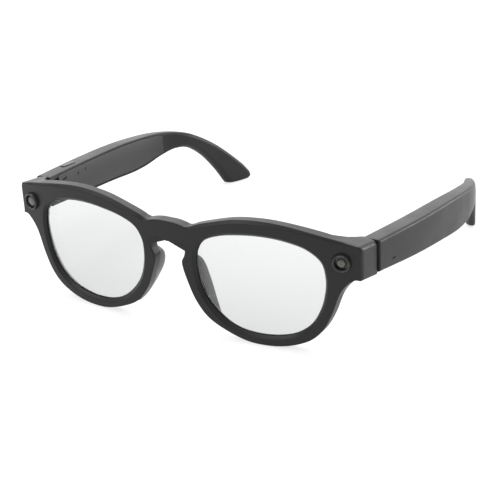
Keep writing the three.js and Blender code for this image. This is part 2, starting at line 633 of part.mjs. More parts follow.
const leftCover = cut(armCover(), powerSlot());
const rightCover = mirrored(cut(armCover(), ...PINHOLES.map(pinhole)));
addPiece('left_arm_shell', armShell(), 'frame');
addPiece('right_arm_shell', mirrored(cut(armShell(), buttonHole())), 'frame');
addPiece('left_arm_cover', leftCover, 'inner');
addPiece('right_arm_cover', rightCover, 'inner');
addPair('arm_hinge_leaf', armHingeLeaf(), 'metal');
addPair('hinge_screw_front', hingeScrew(0), 'metal');
addPair('hinge_screw_back', hingeScrew(1), 'metal');
addPair('speaker', speaker(), 'part');
addPair('speaker_mesh', speakerMesh(), 'mesh');
addPair('arm_microphone', armMicrophone(), 'metal');
addPair('core_wire', coreWire(), 'metal');
addPiece('battery', battery(), 'cell');
addPiece('power_switch_body', powerSwitchBody(), 'part');
addPiece('power_switch_knob', powerKnob(), 'part');
addPiece('main_board', mirrored(mainBoard()), 'board');
addPiece('touch_sensor', mirrored(touchSensor()), 'flex');
addPiece('capture_button', mirrored(captureButton()), 'inner');
addPiece('capture_switch', mirrored(captureSwitch()), 'metal');
addPiece('indicator_window', mirrored(indicatorWindow(PINHOLES[0])), 'window');
addPiece('wear_sensor_window', mirrored(indicatorWindow(PINHOLES[1])), 'window');

// Tip the glasses onto their rims and arm tips, with the origin under the middle of their box.
glasses.rotation.x = Math.atan(REST_SLOPE);
const box = new THREE.Box3().setFromObject(glasses, true);
const middle = box.getCenter(new THREE.Vector3());
glasses.position.set(-middle.x, -middle.y, -box.min.z);

export default glasses;
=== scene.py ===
"""Smart glasses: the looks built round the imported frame.

Shapes are worked out in millimetres, with the front standing square to -Y, and then tipped and
moved into the row frame, where the glasses stand on their rims and arm tips.
"""

import json
import math

import bmesh
import bpy
import numpy as np
from mathutils import Matrix, Vector


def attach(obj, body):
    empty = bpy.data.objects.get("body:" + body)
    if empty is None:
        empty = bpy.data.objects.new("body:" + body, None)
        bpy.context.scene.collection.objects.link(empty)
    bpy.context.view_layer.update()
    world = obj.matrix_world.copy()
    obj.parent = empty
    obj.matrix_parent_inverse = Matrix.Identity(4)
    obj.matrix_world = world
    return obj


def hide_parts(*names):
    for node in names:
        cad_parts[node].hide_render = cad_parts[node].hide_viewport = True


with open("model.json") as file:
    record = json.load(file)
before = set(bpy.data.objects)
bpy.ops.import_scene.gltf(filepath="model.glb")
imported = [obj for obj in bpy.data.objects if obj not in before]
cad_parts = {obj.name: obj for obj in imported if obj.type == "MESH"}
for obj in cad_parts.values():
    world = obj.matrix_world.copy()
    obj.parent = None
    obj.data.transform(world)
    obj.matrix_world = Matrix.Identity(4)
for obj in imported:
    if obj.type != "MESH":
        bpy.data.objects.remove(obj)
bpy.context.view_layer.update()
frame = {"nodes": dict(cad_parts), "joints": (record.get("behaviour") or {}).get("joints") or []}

# ---------------------------------------------------------------- driving dimensions, mm
MM = 0.001
HINGE = (70.0, 22.2, 34.4)
WRAP = 0.0015                 # front curvature: y = WRAP x^2 + WRAP_END x^4
WRAP_END = 2e-8
THICKNESS = 4.5               # rim, front to back
BRIDGE_TOP = 43.0
ARCH_TOP = 34.9
END_X = 74.5                  # outer side of the end piece at its front
END_CORNER = 2.1              # its corner radius, seen from the front
LOW_CORNER = 0.8              # and of its lower one
END_TOP = 42.9                # its top, at the outer corner
LOW_SIDE = 29.95              # and its underside
END_BACK = 20.0               # how far back it runs
END_LEAN = 0.05               # the side leans out this much for each mm rearwards
END_DROP = 0.168              # and the end piece falls away by this much for each
LENS_CENTRE = (36.5, 23.25)
CHAMFER = 1.1                 # sloped band round the front of each opening
FLARE_FROM = 2.2              # behind this depth the openings widen towards the back
FLARE = 1.7
TILT = 0.014                  # the lower rims stand this far forward for each mm below the brow
STATION = 0.5                 # spacing of mesh stations along an outline

MODULE_X = 67.6               # camera and status light, on the end pieces
MODULE_Z = 36.5
TOE_OUT = math.radians(9)     # they look this much outwards

ARM_START = 20.4              # along y, like the cover's two ends
COVER_START = 26.8
COVER_END = 103.0
COVER_DEPTH = 1.3             # the pocket in the arm's inner side
COVER_MARGIN = 0.3            # arm left above and below it
FLOOR_GAP = 0.1               # gap between the pocket's floor and the cover
SEAM = 0.25                   # gap round the cover
END_SEAM = 0.06               # and at its rear end

WELD = 0.005                  # vertices of a cutting tool this close are one
ON_MIDDLE = 1e-7              # metres from x = 0 that still count as on it
SOFT_EDGE = 0.07              # bevel on the CAD pieces that keep their shape

# ---------------------------------------------------------------- into the row frame
fold = next(j for j in frame["joints"] if j["name"] == "left_arm_fold")
TIP = math.atan2(-fold["axis"][1], fold["axis"][2])


def turned_to_row(points):
    p = np.asarray(points, float)
    c, s = math.cos(TIP), math.sin(TIP)
    return np.stack([p[..., 0], c * p[..., 1] - s * p[..., 2], s * p[..., 1] + c * p[..., 2]], -1)


SHIFT = np.array(fold["pos_m"]) - turned_to_row(np.array(HINGE) * MM)


def to_row(points):
    """Upright points in millimetres, as row-frame points in metres."""
    return turned_to_row(np.asarray(points, float) * MM) + SHIFT


# ---------------------------------------------------------------- curves
def track(stations):
    """A smooth function through (at, value) stations."""
    at, value = np.array(stations, float).T
    slope = np.gradient(value, at)
    slope[1:-1] = (value[2:] - value[:-2]) / (at[2:] - at[:-2])

    def value_at(x):
        x = np.asarray(x, float)
        i = np.clip(np.searchsorted(at, x, side="right") - 1, 0, len(at) - 2)
        span = at[i + 1] - at[i]
        t = (x - at[i]) / span
        rise = t * t * (3 - 2 * t)
        bend = slope[i] * t * (1 - t) ** 2 - slope[i + 1] * t * t * (1 - t)
        return value[i] + (value[i + 1] - value[i]) * rise + span * bend

    return value_at


def resampled(points, spacing, closed=False):
    """The same line with evenly spaced points. A closed line doesn't repeat its first point."""
    p = np.vstack([points, points[:1]]) if closed else np.asarray(points)
    at = np.concatenate([[0], np.cumsum(np.linalg.norm(np.diff(p, axis=0), axis=1))])
    count = max(2, round(at[-1] / spacing))
    where = np.linspace(0, at[-1], count + 1)
    line = np.stack([np.interp(where, at, p[:, k]) for k in range(p.shape[1])], -1)
    return line[:-1] if closed else line


def smoothed(points, spacing=STATION, closed=False):
    """Evenly spaced points on a centripetal Catmull-Rom curve through the given ones."""
    p = np.array(points, float)
    if closed:
        ring = np.vstack([p[-1], p, p[0], p[1]])
    else:
        ring = np.vstack([2 * p[0] - p[1], p, 2 * p[-1] - p[-2]])
    dense = []
    for a, b, c, d in zip(ring, ring[1:], ring[2:], ring[3:]):
        t1 = np.linalg.norm(b - a) ** 0.5
        t2 = t1 + np.linalg.norm(c - b) ** 0.5
        t3 = t2 + np.linalg.norm(d - c) ** 0.5
        t = np.linspace(t1, t2, 24, endpoint=False)[:, None]
        a1 = (t1 - t) / t1 * a + t / t1 * b
        a2 = (t2 - t) / (t2 - t1) * b + (t - t1) / (t2 - t1) * c
        a3 = (t3 - t) / (t3 - t2) * c + (t - t2) / (t3 - t2) * d
        b1 = (t2 - t) / t2 * a1 + t / t2 * a2
        b2 = (t3 - t) / (t3 - t1) * a2 + (t - t1) / (t3 - t1) * a3
        dense.append((t2 - t) / (t2 - t1) * b1 + (t - t1) / (t2 - t1) * b2)
    line = np.vstack(dense + ([] if closed else [p[-1:]]))
    return resampled(line, spacing, closed)


def arc(centre, radius, start, end, count=8):
    a = np.radians(np.linspace(start, end, count + 1))
    return np.stack([centre[0] + radius * np.cos(a), centre[1] + radius * np.sin(a)], -1)


def smoothstep(low, high, x):
    t = np.clip((np.asarray(x, float) - low) / (high - low), 0, 1)
    return t * t * (3 - 2 * t)


def outward(line, closed=False):
    """Unit normals on the left of the way a line in x, z runs."""
    if closed:
        step = np.roll(line, -1, 0) - np.roll(line, 1, 0)
    else:
        step = np.gradient(line, axis=0)
    step /= np.linalg.norm(step, axis=1)[:, None]
    return np.stack([-step[:, 1], step[:, 0]], -1)


# ---------------------------------------------------------------- meshes
class Skin:
    """Vertices and faces of one piece, in upright millimetres."""

    def __init__(self):
        self.points = []
        self.faces = []

    def grid(self, rows, closed_rows=False, closed_columns=False):
        """Quads over rows of points; closed_rows joins the last row to the first."""
        rows = np.asarray(rows, float)
        first = sum(len(p) for p in self.points)
        n, m = rows.shape[:2]
        self.points.append(rows.reshape(-1, 3))
        for i in range(n if closed_rows else n - 1):
            for j in range(m if closed_columns else m - 1):
                i2, j2 = (i + 1) % n, (j + 1) % m
                corners = ((i, j), (i, j2), (i2, j2), (i2, j))
                self.faces.append([first + a * m + b for a, b in corners])
        return self

    def fan(self, loop):
        """A flat cap over a loop of points."""
        first = sum(len(p) for p in self.points)
        self.points.append(np.asarray(loop, float))
        self.faces.append(list(range(first, first + len(loop))))
        return self

    def mirrored(self):
        """This skin on the other side of the glasses."""
        other = Skin()
        other.points = [p * np.array([-1, 1, 1]) for p in self.points]
        other.faces = [f[::-1] for f in self.faces]
        return other

    def joined(self, other):
        """Both skins as one."""
        both = Skin()
        shift = sum(len(p) for p in self.points)
        both.points = self.points + other.points
        both.faces = self.faces + [[i + shift for i in f] for f in other.faces]
        return both


def sided(skin, sign):
    """The skin as it is for the left side (sign 1), and mirrored for the right (-1)."""
    return skin if sign > 0 else skin.mirrored()


def piece(name, skin, material, body, nodes=(), sharp=38, weld=0.02):
    """Makes the object, welds points closer than `weld` mm, drops faces in the middle plane."""
    mesh = bpy.data.meshes.new(name)
    mesh.from_pydata(to_row(np.vstack(skin.points)).tolist(), [], skin.faces)
    work = bmesh.new()
    work.from_mesh(mesh)
    bmesh.ops.remove_doubles(work, verts=work.verts, dist=weld * MM)
    inside = [f for f in work.faces if all(abs(v.co.x) < ON_MIDDLE for v in f.verts)]
    bmesh.ops.delete(work, geom=inside, context="FACES")
    bmesh.ops.recalc_face_normals(work, faces=work.faces)
    work.to_mesh(mesh)
    work.free()
    mesh.shade_smooth()
    mesh.set_sharp_from_angle(angle=math.radians(sharp))
    mesh.materials.append(material)
    made = bpy.data.objects.new(name, mesh)
    bpy.context.scene.collection.objects.link(made)
    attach(made, body)
    if nodes:
        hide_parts(*nodes)
    return made


def subtract(target, mesh):
    """Takes the space inside a closed mesh out of a piece."""
    name = "tool"
    tool = bpy.data.objects.new(name, mesh)
    bpy.context.scene.collection.objects.link(tool)
    cut = target.modifiers.new(name, "BOOLEAN")
    cut.operation = "DIFFERENCE"
    cut.solver = "EXACT"
    cut.object = tool
    bpy.context.view_layer.update()
    graph = bpy.context.evaluated_depsgraph_get()
    done = bpy.data.meshes.new_from_object(target.evaluated_get(graph))
    target.modifiers.remove(cut)
    target.data = done
    bpy.data.objects.remove(tool)


def carve(target, tool_skin):
    """Cuts a closed tool out of a piece."""
    mesh = bpy.data.meshes.new("tool")
    mesh.from_pydata(to_row(np.vstack(tool_skin.points)).tolist(), [], tool_skin.faces)
    work = bmesh.new()
    work.from_mesh(mesh)
    bmesh.ops.remove_doubles(work, verts=work.verts, dist=WELD * MM)
    bmesh.ops.recalc_face_normals(work, faces=work.faces)
    work.to_mesh(mesh)
    work.free()
    subtract(target, mesh)


def carve_around(target, node_name, gap, lowered=0.0):
    """Cuts room for a CAD piece, lowered or not, with a gap (mm) all round it."""
    mesh = frame["nodes"][node_name].data.copy()
    work = bmesh.new()
    work.from_mesh(mesh)
    bmesh.ops.remove_doubles(work, verts=work.verts, dist=WELD * MM)
    bmesh.ops.recalc_face_normals(work, faces=work.faces)
    work.normal_update()
    for vert in work.verts:
        vert.co += vert.normal * vert.calc_shell_factor() * gap * MM
        vert.co.z -= lowered * MM
    work.to_mesh(mesh)
    work.free()
    subtract(target, mesh)


# ---------------------------------------------------------------- materials
def shader_nodes(name):
    material = bpy.data.materials.new(name)
    material.use_nodes = True
    tree = material.node_tree
    return material, tree, tree.nodes["Principled BSDF"]


def add(tree, kind, inputs=None, **settings):
    node = tree.nodes.new(kind)
    for key, value in settings.items():
        setattr(node, key, value)
    for key, value in (inputs or {}).items():
        node.inputs[key].default_value = value
    return node


def moulded(name, colour, roughness, grain=9000, bump=0.12, spread=0.06, tone=0.12, **shader):
    """Moulded plastic: a fine sparked grain, cloudy gloss and a little change of tone."""
    material, tree, bsdf = shader_nodes(name)
    link = tree.links.new
    where = add(tree, "ShaderNodeTexCoord")
    clouds = add(tree, "ShaderNodeTexNoise", {"Scale": 90, "Detail": 4, "Roughness": 0.6})
    fine = add(tree, "ShaderNodeTexNoise", {"Scale": grain, "Detail": 2, "Roughness": 0.5})
    for noise in (clouds, fine):
        link(where.outputs["Object"], noise.inputs["Vector"])
    ramp = add(tree, "ShaderNodeValToRGB")
    low, high = ramp.color_ramp.elements
    low.position, high.position = 0.3, 0.7
    low.color = [c * (1 - tone) for c in colour] + [1]
    high.color = [c * (1 + tone) for c in colour] + [1]
    link(clouds.outputs["Fac"], ramp.inputs["Fac"])
    link(ramp.outputs["Color"], bsdf.inputs["Base Color"])
    gloss = add(tree, "ShaderNodeMapRange", {"From Min": 0.3, "From Max": 0.7,
                                             "To Min": roughness - spread,
                                             "To Max": roughness + spread})
    link(clouds.outputs["Fac"], gloss.inputs["Value"])
    link(gloss.outputs["Result"], bsdf.inputs["Roughness"])
    relief = add(tree, "ShaderNodeBump", {"Strength": bump, "Distance": 0.00002})
    link(fine.outputs["Fac"], relief.inputs["Height"])
    link(relief.outputs["Normal"], bsdf.inputs["Normal"])
    for key, value in shader.items():
        bsdf.inputs[key.replace("_", " ")].default_value = value
    return material


def metal(name, colour, roughness, lines=(40, 4000, 4000), bump=0.1):
    """Brushed or turned metal, with fine lines along one direction."""
    material, tree, bsdf = shader_nodes(name)
    link = tree.links.new
    where = add(tree, "ShaderNodeTexCoord")
    stretch = add(tree, "ShaderNodeMapping", {"Scale": lines})
    link(where.outputs["Object"], stretch.inputs["Vector"])
    grain = add(tree, "ShaderNodeTexNoise", {"Scale": 1.0, "Detail": 3})
    link(stretch.outputs["Vector"], grain.inputs["Vector"])
    ramp = add(tree, "ShaderNodeValToRGB")
    low, high = ramp.color_ramp.elements
    low.position, high.position = 0.35, 0.65
    low.color = [c * 0.85 for c in colour] + [1]
    high.color = [min(1, c * 1.1) for c in colour] + [1]
    link(grain.outputs["Fac"], ramp.inputs["Fac"])
    link(ramp.outputs["Color"], bsdf.inputs["Base Color"])
    gloss = add(tree, "ShaderNodeMapRange", {"To Min": roughness * 0.7, "To Max": roughness * 1.4})
    link(grain.outputs["Fac"], gloss.inputs["Value"])
    link(gloss.outputs["Result"], bsdf.inputs["Roughness"])
    relief = add(tree, "ShaderNodeBump", {"Strength": bump, "Distance": 0.00001})
    link(grain.outputs["Fac"], relief.inputs["Height"])
    link(relief.outputs["Normal"], bsdf.inputs["Normal"])
    bsdf.inputs["Metallic"].default_value = 1.0
    return material


def clear_lens(name, low_tint_and_shade, high_tint):
    """Clear lens: it dims what is behind it a little and reflects faintly; painted shade makes it darker low
    down.
    """
    material, tree, bsdf = shader_nodes(name)
    tree.nodes.remove(bsdf)
    link = tree.links.new
    where = add(tree, "ShaderNodeTexCoord")
    haze = add(tree, "ShaderNodeTexNoise", {"Scale": 25, "Detail": 2})
    link(where.outputs["Object"], haze.inputs["Vector"])
    split = add(tree, "ShaderNodeSeparateXYZ")
    link(where.outputs["Object"], split.inputs["Vector"])
    # Painted shade: the lower a point on the lens, the less light it lets through.
    height = add(tree, "ShaderNodeMapRange", {"From Min": 0.0, "From Max": 0.045})
    link(split.outputs["Z"], height.inputs["Value"])
    blend = add(tree, "ShaderNodeMath", {1: 0.06, 2: -0.03}, operation="MULTIPLY_ADD")
    link(haze.outputs["Fac"], blend.inputs[0])
    total = add(tree, "ShaderNodeMath", operation="ADD")
    link(height.outputs["Result"], total.inputs[0])
    link(blend.outputs["Value"], total.inputs[1])
    ramp = add(tree, "ShaderNodeValToRGB")
    low, high = ramp.color_ramp.elements
    low.color, high.color = list(low_tint_and_shade) + [1], list(high_tint) + [1]
    link(total.outputs["Value"], ramp.inputs["Fac"])
    through = add(tree, "ShaderNodeBsdfTransparent")
    link(ramp.outputs["Color"], through.inputs["Color"])
    mirror = add(tree, "ShaderNodeBsdfGlossy", {"Roughness": 0.02})
    facing = add(tree, "ShaderNodeLayerWeight", {"Blend": 0.5})
    steep = add(tree, "ShaderNodeMath", {1: 4.0}, operation="POWER")
    link(facing.outputs["Facing"], steep.inputs[0])
    share = add(tree, "ShaderNodeMapRange", {"To Min": 0.02, "To Max": 0.5})
    link(steep.outputs["Value"], share.inputs["Value"])
    mix = add(tree, "ShaderNodeMixShader")
    link(share.outputs["Result"], mix.inputs["Fac"])
    link(through.outputs["BSDF"], mix.inputs[1])
    link(mirror.outputs["BSDF"], mix.inputs[2])
    link(mix.outputs["Shader"], tree.nodes["Material Output"].inputs["Surface"])
    return material


def ringed(name, centre, axis, rings, roughness, **shader):
    """Glass over a lens barrel: tones in rings round an axis, from (radius mm, colour) pairs."""
    material, tree, bsdf = shader_nodes(name)
    link = tree.links.new
    where = add(tree, "ShaderNodeTexCoord")
    away = add(tree, "ShaderNodeVectorMath", operation="SUBTRACT")
    link(where.outputs["Object"], away.inputs[0])
    away.inputs[1].default_value = centre
    across = add(tree, "ShaderNodeVectorMath", operation="CROSS_PRODUCT")
    link(away.outputs["Vector"], across.inputs[0])
    across.inputs[1].default_value = axis
    length = add(tree, "ShaderNodeVectorMath", operation="LENGTH")
    link(across.outputs["Vector"], length.inputs[0])
    reach = max(r for r, _ in rings) * MM
    share = add(tree, "ShaderNodeMapRange", {"From Max": reach})
    link(length.outputs["Value"], share.inputs["Value"])
    ramp = add(tree, "ShaderNodeValToRGB")
    stops = ramp.color_ramp.elements
    while len(stops) < len(rings):
        stops.new(1.0)
    for stop, (radius, colour) in zip(stops, rings):
        stop.position = radius * MM / reach
        stop.color = list(colour) + [1]
    link(share.outputs["Result"], ramp.inputs["Fac"])
    link(ramp.outputs["Color"], bsdf.inputs["Base Color"])
    bsdf.inputs["Roughness"].default_value = roughness
    for key, value in shader.items():
        bsdf.inputs[key.replace("_", " ")].default_value = value
    return material


SOFT_BLACK = (0.0105, 0.0095, 0.0093)
frame_plastic = moulded("frame_plastic", SOFT_BLACK, 0.38, IOR=1.36)
inner_plastic = moulded("inner_plastic", (0.03, 0.029, 0.029), 0.46, IOR=1.36)
# The lower colour holds the lens's own dimming plus painted shade.
lens_clear = clear_lens("lens_clear", (0.8, 0.805, 0.805), (0.865, 0.87, 0.87))
ground_glass = moulded("ground_glass", (0.33, 0.335, 0.335), 0.5, bump=0.05)
pad_plastic = moulded("pad_plastic", (0.05, 0.05, 0.052), 0.34, bump=0.05)
bezel_plastic = moulded("bezel_plastic", (0.02, 0.02, 0.021), 0.26, bump=0.05)
button_plastic = moulded("button_plastic", (0.02, 0.02, 0.02), 0.3, bump=0.05)
dark_plastic = moulded("dark_plastic", (0.01, 0.01, 0.01), 0.5)
steel = metal("steel", (0.55, 0.55, 0.56), 0.3)
gold = metal("contact_gold", (0.83, 0.6, 0.27), 0.25)
board_green = moulded("board_green", (0.01, 0.06, 0.03), 0.35, grain=2500, bump=0.3)
film_amber = moulded("film_amber", (0.28, 0.11, 0.02), 0.35, grain=2500, bump=0.2)
cell_foil = metal("cell_foil", (0.6, 0.61, 0.63), 0.35, lines=(600, 600, 600), bump=0.2)
mesh_black = metal("mesh_black", (0.06, 0.06, 0.06), 0.4, lines=(3000, 3000, 3000), bump=0.4)

# ---------------------------------------------------------------- front outlines (x, z)
brow = smoothed([(0, BRIDGE_TOP), (3.5, 42.9), (6.4, 42.4), (8.3, 41.85), (10, 42.15), (12, 43.1),
                 (18.5, 45.2), (27, 47.4), (34.5, 48.2), (42, 48.2), (53, 46.9), (63.3, 44.9),
                 (70, 43.5), (END_X - END_CORNER, END_TOP)])
rim = smoothed([(END_X - LOW_CORNER, LOW_SIDE), (72.0, LOW_SIDE + 0.05), (70.7, 29.2), (69.3, 28.0),
                (66.8, 24.5), (63.5, 15.5), (60.4, 9.4), (56.2, 5.0), (50.9, 2.3), (44.8, 0.6),
                (38, 0), (31.5, 0.5), (22.9, 3.3), (15.6, 7.4), (10.8, 13.4), (7.6, 20.9),
                (6.2, 25.4), (5.9, 28), (7.2, 30.9), (7.3, 34.1), (5.0, 35.4), (0, ARCH_TOP)])
top_corner = arc((END_X - END_CORNER, END_TOP - END_CORNER), END_CORNER, 90, 0)
low_corner = arc((END_X - LOW_CORNER, LOW_SIDE + LOW_CORNER), LOW_CORNER, 0, -90)
side = resampled([(END_X, END_TOP - END_CORNER), (END_X, LOW_SIDE + LOW_CORNER)], 2 * STATION)
outline = np.vstack([brow, top_corner[1:], side[1:], low_corner[1:], rim[1:]])
outline_out = outward(outline)
outline_out[0] = (0, 1)
outline_out[-1] = (0, -1)

opening = smoothed([(62, 28.6), (60.4, 35.4), (54.8, 40), (46, 42.4), (37.5, 43), (29, 42.4), (20.6, 40.8),
                    (14.4, 37.9), (11.6, 33.4), (11, 29), (11.4, 23.6), (13.4, 17.2), (17.6, 11.1),
                    (23.4, 6.3), (30, 3.9), (36.7, 3.3), (43.9, 4.0), (50.8, 6.2), (56.2, 10.4), (59.9, 17.0),
                    (61.6, 23.2)], 0.4, closed=True)
opening_out = -outward(opening, closed=True)
drawn_in = np.interp(opening[:, 1], [6, 14, 26, 38], [0.3, 0.3, 0.5, 0.55])
opening = opening - drawn_in[:, None] * opening_out

# Where the rim's sections meet the outline, and the direction from the lens centre they start in.
SECTIONS = [((0, BRIDGE_TOP), 152), ((8.3, 41.8), 147), ((34.5, 48.2), 95), ((63.3, 44.9), 39),
            ((END_X, 42), 20), ((END_X, 30.5), 12), ((70.6, 29.2), 7), ((67.8, 24.6), 1), ((57, 4.9), -42),
            ((38, 0), -86), ((22.9, 3.3), -124), ((7.6, 20.9), -176), ((5.9, 28), -189),
            ((7.2, 30.9), -194), ((0, ARCH_TOP), -198)]


def on_opening(degrees):
    """Points of the lens opening and its outward normals, by direction from the lens centre."""
    from_centre = opening - np.array(LENS_CENTRE)
    angle = np.degrees(np.unwrap(np.arctan2(from_centre[:, 1], from_centre[:, 0])))
    table = np.column_stack([angle % 360, opening, opening_out])
    table = table[np.argsort(table[:, 0])]
    last, first = table[-1:].copy(), table[:1].copy()
    last[:, 0] -= 360
    first[:, 0] += 360
    table = np.vstack([last, table, first])
    at = np.asarray(degrees) % 360
    found = np.stack([np.interp(at, table[:, 0], table[:, k]) for k in range(1, 5)], -1)
    normals = found[:, 2:] / np.linalg.norm(found[:, 2:], axis=1)[:, None]
    return found[:, :2], normals


def front_y(x, z=None):
    """Front surface, which is the same at every height z."""
    return WRAP * np.square(x) + WRAP_END * np.power(x, 4)


END_REAR = track([(59, 9.8), (62.4, 10.7), (65.5, 13.4), (68.3, 17.3), (69.6, 19.75), (70.4, END_BACK),
                  (90, END_BACK)])


def rear_y(x, z):
    """Rear surface: the rim's own thickness, and deeper where the end piece runs back to the arm."""
    plain = front_y(x) + THICKNESS
    foot = np.interp(x, [69.5, 72.5], [29.4, 27.5])
    share = smoothstep(foot, foot + 1.2, z) * (np.asarray(x) > 58)
    return plain + (np.maximum(END_REAR(np.maximum(x, 58)), plain) - plain) * share


def settled(points):
    """The end piece leans out and falls away towards the arm."""
    p = np.array(points, float)
    x, y = p[..., 0], p[..., 1]
    level = np.interp(p[..., 2], [28, 41], [1.2, 1])
    drop = END_DROP * level * np.maximum(y - np.minimum(front_y(x), 8.2) - 1, 0) * smoothstep(60, 67, x)
    lean = END_LEAN * np.maximum(y - 10.8, 0) * smoothstep(72, END_X, x)
    below = np.maximum(40 - p[..., 2], 0)
    p[..., 2] -= drop
    p[..., 0] += lean
    p[..., 1] -= TILT * below
    return p


# The brow's bevel and a plain rounded edge: shares of the edge's width and depth, front to side.
FACET = [(1.04, 0), (0.96, 0.02), (0.88, 0.1), (0.5, 0.5), (0.12, 0.88), (0.03, 0.96), (0, 1.04)]
ROUNDED = [(1 - math.sin(a), 1 - math.cos(a)) for a in np.linspace(0, math.pi / 2, len(FACET))]
SIDE_ROWS = 5
REAR_ROWS = 6
OUTER_ROWS = len(FACET) + SIDE_ROWS + REAR_ROWS
# Rows down the wall of a lens opening, rear to front: distance outside the opening, share of the
# way from the front surface to the rear one, and a depth added to that.
WALL = [(FLARE + 0.25, 1, 0), (FLARE + 0.02, 1, -0.08), (FLARE - 0.1, 1, -0.28),
        (FLARE / 2, 0.5, FLARE_FROM / 2), (0.1, 0, FLARE_FROM + 0.12), (0, 0, FLARE_FROM),
        (0, 0, 1.7), (0, 0, CHAMFER + 0.14), (0.03, 0, CHAMFER), (0.12, 0, CHAMFER - 0.1),
        (CHAMFER - 0.1, 0, 0.08), (CHAMFER, 0, 0.015)]


def across(start, end, count, surface):
    """Rows from one (x, z) to another over the front or rear surface."""
    return [(x, float(surface(x, z)), z) for x, z in np.linspace(start, end, count)]


def outer_rows(at, out, width, depth, rear_round, bevel):
    """Rows over the outline at one place: its front edge, side and rear edge."""
    rows = []
    for (facet_in, facet_back), (round_in, round_back) in zip(FACET, ROUNDED):
        inwards = facet_in * bevel + round_in * (1 - bevel)
        backwards = facet_back * bevel + round_back * (1 - bevel)
        x, z = at - out * (width * inwards)
        rows.append((x, float(front_y(x)) + depth * backwards, z))
    start = float(front_y(at[0])) + depth
    end = float(rear_y(*at)) - rear_round
    rows += [(at[0], y, at[1]) for y in np.linspace(start, end, SIDE_ROWS + 2)[1:-1]]
    for angle in np.linspace(0, math.pi / 2, REAR_ROWS):
        x, z = at - out * rear_round * (1 - math.cos(angle))
        rows.append((x, end + rear_round * math.sin(angle), z))
    return rows


def wall_rows(at, out):
    """Rows down the wall of the lens opening at one place."""
    rows = []
    for margin, share, added in WALL:
        x, z = at + out * margin
        face, back = float(front_y(x)), float(rear_y(x, z))
        rows.append((x, face + (back - face) * share + added, z))
    return rows


def front_skin():
    """Half of the front, as sections from the lens opening to the outline all the way round."""
    along = np.concatenate([[0], np.cumsum(np.linalg.norm(np.diff(outline, axis=0), axis=1))])
    marks = [along[np.argmin(np.linalg.norm(outline - np.array(p), axis=1))] for p, _ in SECTIONS]
    turn = np.interp(along, marks, [a for _, a in SECTIONS])
    x, z = outline.T
    on_top = (np.arange(len(x)) < len(brow)).astype(float)
    fading = (1 - 0.4 * smoothstep(46, 58, x)) * (1 - smoothstep(67, 71, x))
    brow_bevel = on_top * smoothstep(7.9, 9.4, x) * fading
    at_side = smoothstep(0.3, 0.9, outline_out[:, 0]) * (x > 72) * (z > 29)
    at_end = smoothstep(60, 66, x) * (z > 29)
    width = 0.45 + 0.75 * brow_bevel + 0.65 * at_side
    depth = 0.45 + 0.55 * brow_bevel + 1.5 * at_side
    rear_round = 0.6 - 0.3 * at_end
    # Sections that end on the middle plane, between the arch and the top of the bridge.
    middle = np.linspace(ARCH_TOP + width[-1] + 0.2, BRIDGE_TOP - width[0] - 0.2, 16)[1:-1]
    turn_middle = np.interp(middle, [ARCH_TOP, BRIDGE_TOP], [-198, -208])
    edge, edge_out = on_opening(np.concatenate([turn, turn_middle]))

    sections = []
    for j, (a, a_out) in enumerate(zip(edge, edge_out)):
        if j < len(turn):
            b, b_out = outline[j], outline_out[j]
            near = b - b_out * (width[j] + 0.15)
            far = b - b_out * (rear_round[j] + 0.15)
            outer = outer_rows(b, b_out, width[j], depth[j], rear_round[j], brow_bevel[j])
        else:
            near = far = np.array([0.0, middle[j - len(turn)]])
            depths = np.linspace(0, THICKNESS, OUTER_ROWS + 2)[1:-1]
            outer = [(0.0, y, near[1]) for y in depths]
        rows = across(a + a_out * (CHAMFER + 0.12), near, 13, front_y) + outer
        rows += across(far, a + a_out * (FLARE + 0.4), 15, rear_y) + wall_rows(a, a_out)
        sections.append(rows)
    return Skin().grid(settled(sections), closed_rows=True, closed_columns=True)


half = front_skin()
front_frame = piece("front_shell", half.joined(half.mirrored()), frame_plastic, "front", ["front_frame"],
                    sharp=50, weld=0.004)

# ---------------------------------------------------------------- lenses
LENS_SETBACK = 1.6
LENS_THICKNESS = 1.9
LENS_BEVEL = 0.32             # ground slope round the front of each lens
GROUND_NORMAL = (-0.9, -0.4)  # its faces are those whose normal's y lies between these


def lens_skin():
    """Both faces follow the front's curve; the edge widens with the opening it sits in."""
    centre = np.array(LENS_CENTRE)
    shares = (0.001, 0.1, 0.25, 0.4, 0.55, 0.7, 0.85, 0.97)
    inner = [centre + (opening - centre) * s for s in shares]

    def layer(ring, depth):
        return np.stack([ring[:, 0], front_y(ring[:, 0]) + depth, ring[:, 1]], -1)

    def grown(margin, depth):
        return layer(opening + opening_out * margin, depth)

    rows = [layer(r, LENS_SETBACK) for r in inner]
    rows += [grown(-0.06 - LENS_BEVEL, LENS_SETBACK), grown(-0.06, LENS_SETBACK + LENS_BEVEL),
             grown(-0.06, FLARE_FROM + 0.1), grown(0.85, LENS_SETBACK + LENS_THICKNESS)]
    rows += [layer(r, LENS_SETBACK + LENS_THICKNESS) for r in inner[::-1]]
    return Skin().grid(settled(rows), closed_columns=True)


for side_name, sign in (("left", 1), ("right", -1)):
    lens = piece(f"{side_name}_lens_clear", sided(lens_skin(), sign), lens_clear, "front",
                 [f"{side_name}_lens"], sharp=25)
    lens.data.materials.append(ground_glass)
    for face in lens.data.polygons:
        if GROUND_NORMAL[0] < face.normal.y < GROUND_NORMAL[1]:
            face.material_index = 1

